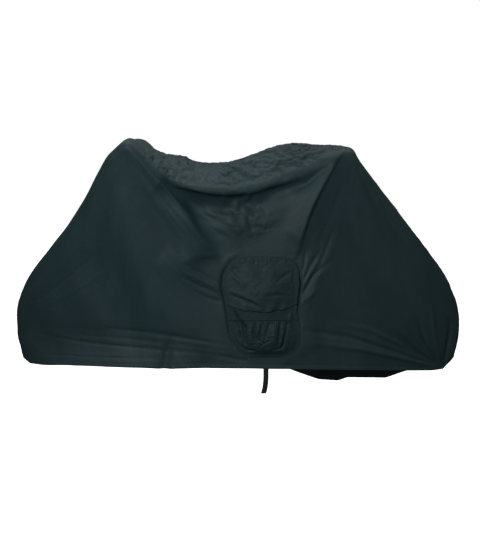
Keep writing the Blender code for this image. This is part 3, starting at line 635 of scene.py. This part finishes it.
def noise_at(place, wavelength, detail=2.0, distortion=0.0):
    """Noise of about 0.3 to 0.7 over the cloth; the wavelength is in metres."""
    inputs = {"Vector": place, "Scale": 1 / wavelength, "Detail": detail, "Distortion": distortion}
    return place.node("TexNoise", inputs)


def colour_mix(factor, a, b):
    inputs = {0: factor, 6: a, 7: b}
    return factor.node("Mix", inputs, out=2, data_type="RGBA", clamp_factor=True)


def stitch_rows(u, v, distance, rows):
    """1 on rows of stitches at the given distances from an edge, 0 off them."""
    away = None
    for row in rows:
        off = (distance - row).maths("ABSOLUTE")
        away = off if away is None else away.maths("MINIMUM", off)
    thread = 1 - (away / STITCH_WIDTH).maths("MINIMUM", 1.0)
    gap = ((u + v) / STITCH_PITCH).maths("FRACT").maths("LESS_THAN", STITCHED)
    return thread * gap


def cloth_material(name):
    """A new material, its place on the cloth, and the two parts of that, along and down."""
    material = bpy.data.materials.new(name)
    material.use_nodes = True
    place = Wire(material.node_tree.nodes.new("ShaderNodeUVMap").outputs[0])
    place.output.node.uv_map = "cloth"
    u, v = (place.node("SeparateXYZ", {0: place}, out=part) for part in (0, 1))
    return material, place, u, v


def finish_cloth(material, colour, roughness, bump, gloss):
    """Join a cloth's colour, roughness and bump to its shader."""
    shader = material.node_tree.nodes["Principled BSDF"]
    for socket, value in {"Base Color": colour, "Roughness": roughness, "Normal": bump}.items():
        material.node_tree.links.new(value.output, shader.inputs[socket])
    shader.inputs["Specular IOR Level"].default_value = gloss


STITCH_PITCH = 0.0036
STITCH_WIDTH = 0.0006            # and its height
STITCHED = 0.72                  # share of the pitch that is thread
TONES = (0.160, 0.012)           # wavelengths of the uneven colour
CREASE = (0.022, 0.0040)         # wavelength and height of the finest creases
CREASED = (0.30, 0.70)           # share of their height on taut cloth, and how much more on slack
WEAVE = (0.0007, 0.00003)        # pitch of two threads, and height of their bump
TAFFETA_DARK = (0.0095, 0.0238, 0.0274, 1)
TAFFETA_LIGHT = (0.0132, 0.0310, 0.0356, 1)
TAFFETA_GLOSS = 0.20
THREAD = (0.030, 0.046, 0.049, 1)
HEM_STITCHES = (HEM * HEM_ROWS[0],)
SEAM_STITCHES = (0.004, 0.010)


def taffeta(name, edge_rows, seam_rows, dark, light, gloss):
    """Coated taffeta with stitch rows at distances from its edges and from the seam."""
    material, place, u, v = cloth_material(name)
    slack = place.node("Attribute", out=2, attribute_name="slack")
    edge = place.node("Attribute", out=2, attribute_name="edge")
    stitches = stitch_rows(u, v, edge, edge_rows)
    if seam_rows:
        stitches = stitches.maths("MAXIMUM", stitch_rows(u, v, v, seam_rows))
    broad = noise_at(place, TONES[0], 3.0)
    fine = noise_at(place, TONES[1], 3.0, 0.4)
    cloth_colour = colour_mix((broad - 0.35) * 2.2 + (fine - 0.5) * 0.8, dark, light)
    colour = colour_mix(stitches, cloth_colour, THREAD)
    crease = noise_at(place, CREASE[0], 3.0, 0.8)
    crease = (crease - 0.5).maths("ABSOLUTE") * (CREASED[0] + CREASED[1] * slack)
    threads = (u * (2 * math.pi / WEAVE[0])).maths("SINE") * (v * (2 * math.pi / WEAVE[0])).maths("SINE")
    bump = place.node("Bump", {"Strength": 1.0, "Distance": CREASE[1], "Height": crease})
    bump = place.node("Bump", {"Strength": 0.10, "Distance": WEAVE[1], "Height": threads, "Normal": bump})
    bump = place.node("Bump", {"Strength": 0.6, "Distance": STITCH_WIDTH, "Height": stitches, "Normal": bump})
    finish_cloth(material, colour, 0.50 + fine * 0.16, bump, gloss)
    return material


panel_taffeta = taffeta("taffeta", HEM_STITCHES, SEAM_STITCHES, TAFFETA_DARK, TAFFETA_LIGHT, TAFFETA_GLOSS)
for panel, node, flat, area in (
    (side_near, "side_near", (1.15, 1.95), 1.66),
    (side_far, "side_far", (1.20, 1.95), 1.72),
):
    panel.data.materials.append(panel_taffeta)
    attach(panel, "root")
    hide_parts(node)

# ------------------------------------------------------------------ storage pocket
# A bag that the folded cover goes into, of the same taffeta: a puffed pouch, gathered at its mouth into a straight
# band, and a flap with a doubled and twice stitched hem that hangs over the band. All are sewn down at the sides.
POUCH_PUFF = 0.024               # how far the pouch stands out at its fullest
MOUTH_PUFF = 0.018               # and at its mouth
POUCH_SWELL = [(0, MOUTH_PUFF), (0.3, 0.023), (0.6, POUCH_PUFF), (0.8, 0.0165), (0.93, 0.003), (1, 0)]
POUCH_TOP = 0.376                # heights above the ground
GATHER_LINE = 0.367
BAND_TOP = 0.432
FLAP_TOP = 0.618
FLAP_HEMS = [(0.0, 0.424), (0.22, 0.408), (0.40, 0.401), (0.62, 0.402), (0.80, 0.409), (1.0, 0.428)]
POUCH_GRID = (168, 100)
BAND_GRID = (150, 40)
FLAP_GRID = (150, 120)

FLAP_FOLDS = [
    ("dark front corner", [(-0.036, 0.578), (0.004, 0.54)], 0.012, 0.012, -0.004),
    ("bright streak under it", [(-0.036, 0.548), (0.024, 0.504)], 0.01, 0.012, 0.0035),
    ("front billow", [(0.012, 0.582), (0.066, 0.542)], 0.014, 0.018, 0.0035),
    ("back billow", [(0.1, 0.578), (0.142, 0.536)], 0.014, 0.018, 0.0035),
    ("notch by the back billow", [(0.14, 0.512), (0.176, 0.542), (0.206, 0.556)], 0.008, 0.008, -0.0035),
    ("long crease", [(-0.056, 0.472), (0.011, 0.45), (0.084, 0.416)], 0.007, 0.006, -0.004),
    ("ridge over it", [(-0.05, 0.488), (0.015, 0.464), (0.084, 0.434)], 0.008, 0.008, 0.0022),
    ("short crease", [(0.03, 0.452), (0.086, 0.412)], 0.005, 0.005, -0.0022),
    ("level crease at the back", [(0.094, 0.456), (0.14, 0.468), (0.206, 0.46)], 0.008, 0.008, -0.0032),
    ("hollow along the back edge", [(0.222, 0.598), (0.214, 0.534), (0.22, 0.47)], 0.008, 0.007, -0.003),
]
POUCH_FOLDS = [
    ("first gather", [(0.011, 0.366), (0.019, 0.314), (0.023, 0.266)], 0.005, 0.0065, -0.0062),
    ("first puff", [(0.041, 0.362), (0.04, 0.27)], 0.009, 0.01, 0.004),
    ("second gather", [(0.061, 0.362), (0.055, 0.314), (0.064, 0.266)], 0.0045, 0.005, -0.005),
    ("second puff", [(0.074, 0.362), (0.068, 0.302)], 0.006, 0.007, 0.003),
    ("third gather", [(0.094, 0.366), (0.08, 0.314), (0.084, 0.286)], 0.0045, 0.005, -0.005),
    ("fourth gather", [(0.12, 0.366), (0.104, 0.314), (0.1, 0.286)], 0.0045, 0.005, -0.0046),
    ("widest puff", [(0.14, 0.364), (0.136, 0.268)], 0.01, 0.012, 0.005),
    ("fifth gather", [(0.16, 0.366), (0.158, 0.322), (0.15, 0.25)], 0.0045, 0.005, -0.0062),
    ("last puff", [(0.174, 0.352), (0.16, 0.262)], 0.006, 0.007, 0.004),
    ("sixth gather", [(0.19, 0.366), (0.18, 0.302), (0.164, 0.248)], 0.0045, 0.005, -0.0062),
    ("lower front gather", [(0.0, 0.266), (0.031, 0.248), (0.066, 0.246)], 0.005, 0.005, -0.0058),
    ("lower back gather", [(0.118, 0.246), (0.164, 0.254), (0.182, 0.286)], 0.005, 0.005, -0.005),
    ("crumple 1", [(0.066, 0.296), (0.1, 0.272)], 0.005, 0.004, -0.0035),
    ("crumple 2", [(0.082, 0.266), (0.12, 0.288)], 0.004, 0.004, -0.0035),
    ("crumple 3", [(0.09, 0.25), (0.096, 0.276)], 0.004, 0.004, 0.0028),
    ("slanting hollow at the front", [(-0.03, 0.38), (-0.007, 0.334), (0.008, 0.286)], 0.006, 0.006, -0.006),
    ("slanting ridge at the front", [(-0.022, 0.364), (0.004, 0.312)], 0.006, 0.006, 0.004),
    ("low hollow at the front", [(-0.036, 0.34), (-0.021, 0.282), (0.0, 0.23)], 0.006, 0.006, -0.0042),
]
MOUTH_FOLDS = [
    ("front hollow of the mouth", [(-0.03, 0.412), (0.003, 0.358), (0.028, 0.33)], 0.0055, 0.0055, -0.007),
    ("back ridge of the mouth", [(0.205, 0.4), (0.194, 0.35)], 0.008, 0.009, 0.0038),
    ("back hollow of the mouth", [(0.213, 0.414), (0.217, 0.368), (0.232, 0.33)], 0.006, 0.006, -0.0045),
]
GATHERS = (0.0013, 0.0095, 0.030)     # height, pitch and reach of the small gathers under the band
CRUMPLE = (0.0014, 0.022, 0.030)      # unevenness of the pocket: height and wavelengths
FLAP_WAVE = (0.0022, 0.055)           # of the flap's hem: height and pitch
TOP_WRINKLE = (0.0022, 0.012, 0.020)  # under the flap's upper seam
FLAP_CRUMPLE = 0.035
FLAP_SWELL = 0.004
BAND_WAVE = (0.0006, 0.030)
POCKET_SHADED_DARK = (0.0078, 0.0200, 0.0232, 1)   # of the same cloth, made darker than the panels' as painted shade
POCKET_SHADED_LIGHT = (0.0110, 0.0262, 0.0304, 1)
POCKET_GLOSS = 0.15
POCKET_STITCHES = (0.0035, 0.0100)


def across_pocket(columns, heights):
    """x, z and the share of the way across the pocket, for a grid of columns at the heights given."""
    share = np.linspace(0, 1, columns + 1)[:, None]
    z = np.broadcast_to(heights, (columns + 1, np.shape(heights)[-1]))
    front, back = pocket_edges(z)
    return front + (back - front) * share, z, share


def puff(share):
    """The swell of the pocket across its width, 0 at its sewn edges."""
    return np.sin(np.pi * ease((share - 0.04) / 0.92)) ** 0.6


def sewn_rim(share):
    """0 at the pocket's sewn edges, 1 inside them."""
    return ease((share - 0.02) / 0.10) * ease((0.98 - share) / 0.10)


def pocket_piece(name, x, z, out, edge):
    """A piece of the pocket that stands out from the bed, as a grid of places, with stitches along its edge."""
    points = np.stack([x, bed_y(x, z) - out, z], axis=-1)
    slack = np.full_like(x, 0.5)
    piece = cut_mesh(name, points, cloth_uv(points), -1, {"slack": slack, "edge": edge})
    thicken(piece, CLOTH)
    return piece


def mouth_lift(x, z, share):
    return fold_height(x, z, MOUTH_FOLDS) * sewn_rim(share)


x, z, share = across_pocket(POUCH_GRID[0], np.linspace(POUCH_TOP, POCKET_BOTTOM, POUCH_GRID[1] + 1)[None, :])
down = np.clip((GATHER_LINE - z) / (GATHER_LINE - POCKET_BOTTOM), 0, 1)
swell = np.interp(down, *np.transpose(POUCH_SWELL))
inside = sewn_rim(share) * ease((0.97 - down) * 6)
under_band = ease((GATHER_LINE - z) / 0.010)
gathers = GATHERS[0] * np.cos(2 * np.pi * x / GATHERS[1] + 2 * ripple(x / 0.05, z / 0.08, 2.5))
gathers *= np.clip(1 - (GATHER_LINE - z) / GATHERS[2], 0, 1)
crumple = CRUMPLE[0] * ripple(x / CRUMPLE[1], z / CRUMPLE[2], 4.5)
lift = (fold_height(x, z, POUCH_FOLDS) + gathers + crumple) * inside * under_band + mouth_lift(x, z, share) * inside
width = np.diff(pocket_edges(z), axis=0)[0]
edge = np.minimum(np.minimum(share, 1 - share) * width, z - POCKET_BOTTOM)
pouch = pocket_piece("cover_pouch", x, z, SEWN_GAP + CLOTH + swell * puff(share) + lift, edge)

x, z, share = across_pocket(BAND_GRID[0], np.linspace(BAND_TOP, GATHER_LINE - 0.001, BAND_GRID[1] + 1)[None, :])
wave = BAND_WAVE[0] * (1 + ripple(x / BAND_WAVE[1], z / BAND_WAVE[1], 6.5))
lift = mouth_lift(x, z, share) + wave * sewn_rim(share)
out = 2 * SEWN_GAP + 2 * CLOTH + MOUTH_PUFF * puff(share) + lift
band = pocket_piece("cover_pouch_band", x, z, out, z - GATHER_LINE)

share = np.linspace(0, 1, FLAP_GRID[0] + 1)
flap_bottom = np.interp(share, *np.transpose(FLAP_HEMS)) + 0.002 * np.sin(share * 19 + 1)
down = np.linspace(0, 1, FLAP_GRID[1] + 1)[None, :]
x, z, share = across_pocket(FLAP_GRID[0], FLAP_TOP + (flap_bottom[:, None] - FLAP_TOP) * down)
over_band = MOUTH_PUFF * puff(share) + 3 * CLOTH + 4 * SEWN_GAP
lift = fold_height(x, z, FLAP_FOLDS) + CRUMPLE[0] * ripple(x / FLAP_CRUMPLE, z / FLAP_CRUMPLE, 8.5)
lift += TOP_WRINKLE[0] * ripple(x / TOP_WRINKLE[1], z / TOP_WRINKLE[2], 9.5) * ease((z - 0.580) / 0.020)
hem_wave = FLAP_WAVE[0] * (1 + np.sin(2 * np.pi * x / FLAP_WAVE[1] + 2 * ripple(x / 0.08, z / 0.2, 1.2)))
hem_wave *= ease((0.450 - z) / 0.040)
swollen = over_band * ease(down / 0.80) + FLAP_SWELL * np.sin(np.pi * down) * puff(share)
out = SEWN_GAP + CLOTH + swollen + (lift * ease(down * 14) + hem_wave) * sewn_rim(share)
flap = pocket_piece("cover_pocket_flap", x, z, out, z - flap_bottom[:, None])

# The pocket's pieces get the panels' taffeta in darker tones: painted shade.
shaded_pocket_taffeta = taffeta("pocket taffeta with painted shade", POCKET_STITCHES, (), POCKET_SHADED_DARK, POCKET_SHADED_LIGHT, POCKET_GLOSS)
for piece, node, flat, held, rest in (
    (pouch, "pouch", (0.18, 0.30), "gathered", [side_near]),
    (band, "pouch_band", (0.066, 0.31), "hung", [side_near, pouch]),
    (flap, "pocket_flap", (0.22, 0.31), "hung", [side_near, band]),
):
    piece.data.materials.append(shaded_pocket_taffeta)
    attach(piece, "root")
    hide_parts(node)

# ------------------------------------------------------------------ tie strap
# A strap of ribbed polyester webbing that ties the cover down from below. It is sewn inside the near hem and its free
# end hangs, with a slight curl to the front.
STRAP_X = 0.1035
STRAP_WIDTH = 0.021
STRAP_THICK = 0.0015
STRAP_SEWN = 0.205               # height to which it is sewn inside the hem
STRAP_FREE = 0.150               # height below which it bends
STRAP_END = 0.072                # height of its free end
STRAP_CURL = 0.0097              # how far the free end has moved to the front
STRAP_IN = 0.004                 # and inward
STRAP_TWIST = 0.0015
HEM_CLOTH = 0.0020               # thickness of the hem in front of it
STRAP_GRID = (20, 120)
RIB = 0.0025                     # pitch of the webbing's ribs
FIBRES = 0.0012
WEBBING_DARK = (0.006, 0.011, 0.009, 1)
WEBBING_LIGHT = (0.016, 0.026, 0.022, 1)
WEBBING_GLOSS = 0.20
across = np.linspace(-0.5, 0.5, STRAP_GRID[0] + 1)[:, None]
z = np.linspace(STRAP_SEWN, STRAP_END, STRAP_GRID[1] + 1)[None, :]
hanging = np.clip((STRAP_FREE - z) / (STRAP_FREE - STRAP_END), 0, 1)
x = STRAP_X - STRAP_CURL * hanging**2.5 + across * STRAP_WIDTH
y = bed_y(x, z) + HEM_CLOTH + SEWN_GAP + STRAP_IN * hanging**2 + STRAP_TWIST * np.sin(6 * hanging) * across * hanging
points = np.stack(np.broadcast_arrays(x, y, z), axis=-1)
edge = (0.5 - np.abs(across)) * STRAP_WIDTH * np.ones_like(z)
strap = cut_mesh("cover_strap", points, cloth_uv(points), -1, {"edge": edge})
thicken(strap, STRAP_THICK)

webbing, place, u, v = cloth_material("webbing")
slant = ((u / RIB).maths("FRACT") - 0.5).maths("ABSOLUTE") * 2.0
ribs = ((v / RIB + slant) * (2 * math.pi)).maths("SINE") * 0.5 + 0.5
fibres = noise_at(place, FIBRES)
# The colour is darker in the grooves between the ribs, as painted shade over the ribs' bump; the fibre noise is the
# webbing's own uneven tone.
colour = colour_mix(ribs * 0.6 + (fibres - 0.5), WEBBING_DARK, WEBBING_LIGHT)
bump = place.node("Bump", {"Strength": 0.8, "Distance": 0.0005, "Height": ribs + fibres * 0.3})
finish_cloth(webbing, colour, 0.62 + fibres * 0.2, bump, WEBBING_GLOSS)
strap.data.materials.append(webbing)
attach(strap, "root")
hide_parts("strap")

# ------------------------------------------------------------------ camera and studio
# The photograph's view, and a white studio: a near light at the front left, a large soft one overhead, and dim
# surroundings that the camera sees as plain white. The floor is as white, and throws no light back.
GROUND = -SADDLE[2]
CAMERA_AWAY = 4.20               # from the middle plane
CAMERA_HEIGHT = 0.95             # above the ground
AIM_HEIGHT = 0.565               # of the middle of the picture
FOCAL_PIXELS, PICTURE_PIXELS = 1025, 480
FILM = 36
FLOOR_SIZE = 30
SKY_LEVEL, SKY_UP = 0.12, 0.40   # brightness of the surroundings, and how much more overhead
camera = bpy.data.objects.new("camera", bpy.data.cameras.new("camera"))
camera.location = (-SADDLE[0], -CAMERA_AWAY, GROUND + CAMERA_HEIGHT)
camera.rotation_euler = (math.pi / 2 - math.atan2(CAMERA_HEIGHT - AIM_HEIGHT, CAMERA_AWAY), 0, 0)
camera.data.lens = FOCAL_PIXELS * FILM / PICTURE_PIXELS
camera.data.sensor_width = FILM
camera.data.sensor_fit = "HORIZONTAL"
bpy.context.scene.collection.objects.link(camera)
bpy.context.scene.camera = camera


def area_light(name, place, aim, size, watts):
    lamp = bpy.data.lights.new(name, "AREA")
    lamp.shape = "RECTANGLE"
    lamp.size, lamp.size_y = size
    lamp.energy = watts
    light = bpy.data.objects.new(name, lamp)
    light.location = place
    light.rotation_euler = (Vector(aim) - Vector(place)).to_track_quat("-Z", "Y").to_euler()
    bpy.context.scene.collection.objects.link(light)


area_light("key", (-0.8, -1.8, 0.3), (-0.35, 0.0, -0.5), (0.8, 0.8), 25)
area_light("overhead", (-0.2, 0.3, 2.0), (-0.2, 0.0, -0.1), (3.0, 1.4), 32)

bpy.ops.mesh.primitive_plane_add(size=FLOOR_SIZE, location=(-SADDLE[0], 0, GROUND))
floor = bpy.context.object
floor.name = "studio_floor"
floor.visible_diffuse = floor.visible_glossy = floor.visible_shadow = False
pale = bpy.data.materials.new("white floor")
pale.use_nodes = True
for socket, value in {"Base Color": (0.9, 0.9, 0.9, 1), "Roughness": 1.0, "Emission Color": (1, 1, 1, 1),
                      "Emission Strength": 1.0}.items():
    pale.node_tree.nodes["Principled BSDF"].inputs[socket].default_value = value
floor.data.materials.append(pale)

world = bpy.data.worlds.new("studio")
world.use_nodes = True
tree = world.node_tree
direction = Wire(tree.nodes.new("ShaderNodeTexCoord").outputs["Generated"])
height = direction.node("SeparateXYZ", {0: direction}, out=2)
brightness = height.maths("MAXIMUM", 0.0) * SKY_UP + SKY_LEVEL
around = direction.node("Background", {"Color": (1, 1, 1, 1), "Strength": brightness})
seen = direction.node("Background", {"Color": (1, 1, 1, 1), "Strength": 1.0})
is_camera = direction.node("LightPath", out=0)
backdrop = direction.node("MixShader", {0: is_camera, 1: around, 2: seen})
tree.links.new(backdrop.output, tree.nodes["World Output"].inputs["Surface"])
bpy.context.scene.world = world
bpy.context.scene.view_settings.view_transform = "Standard"
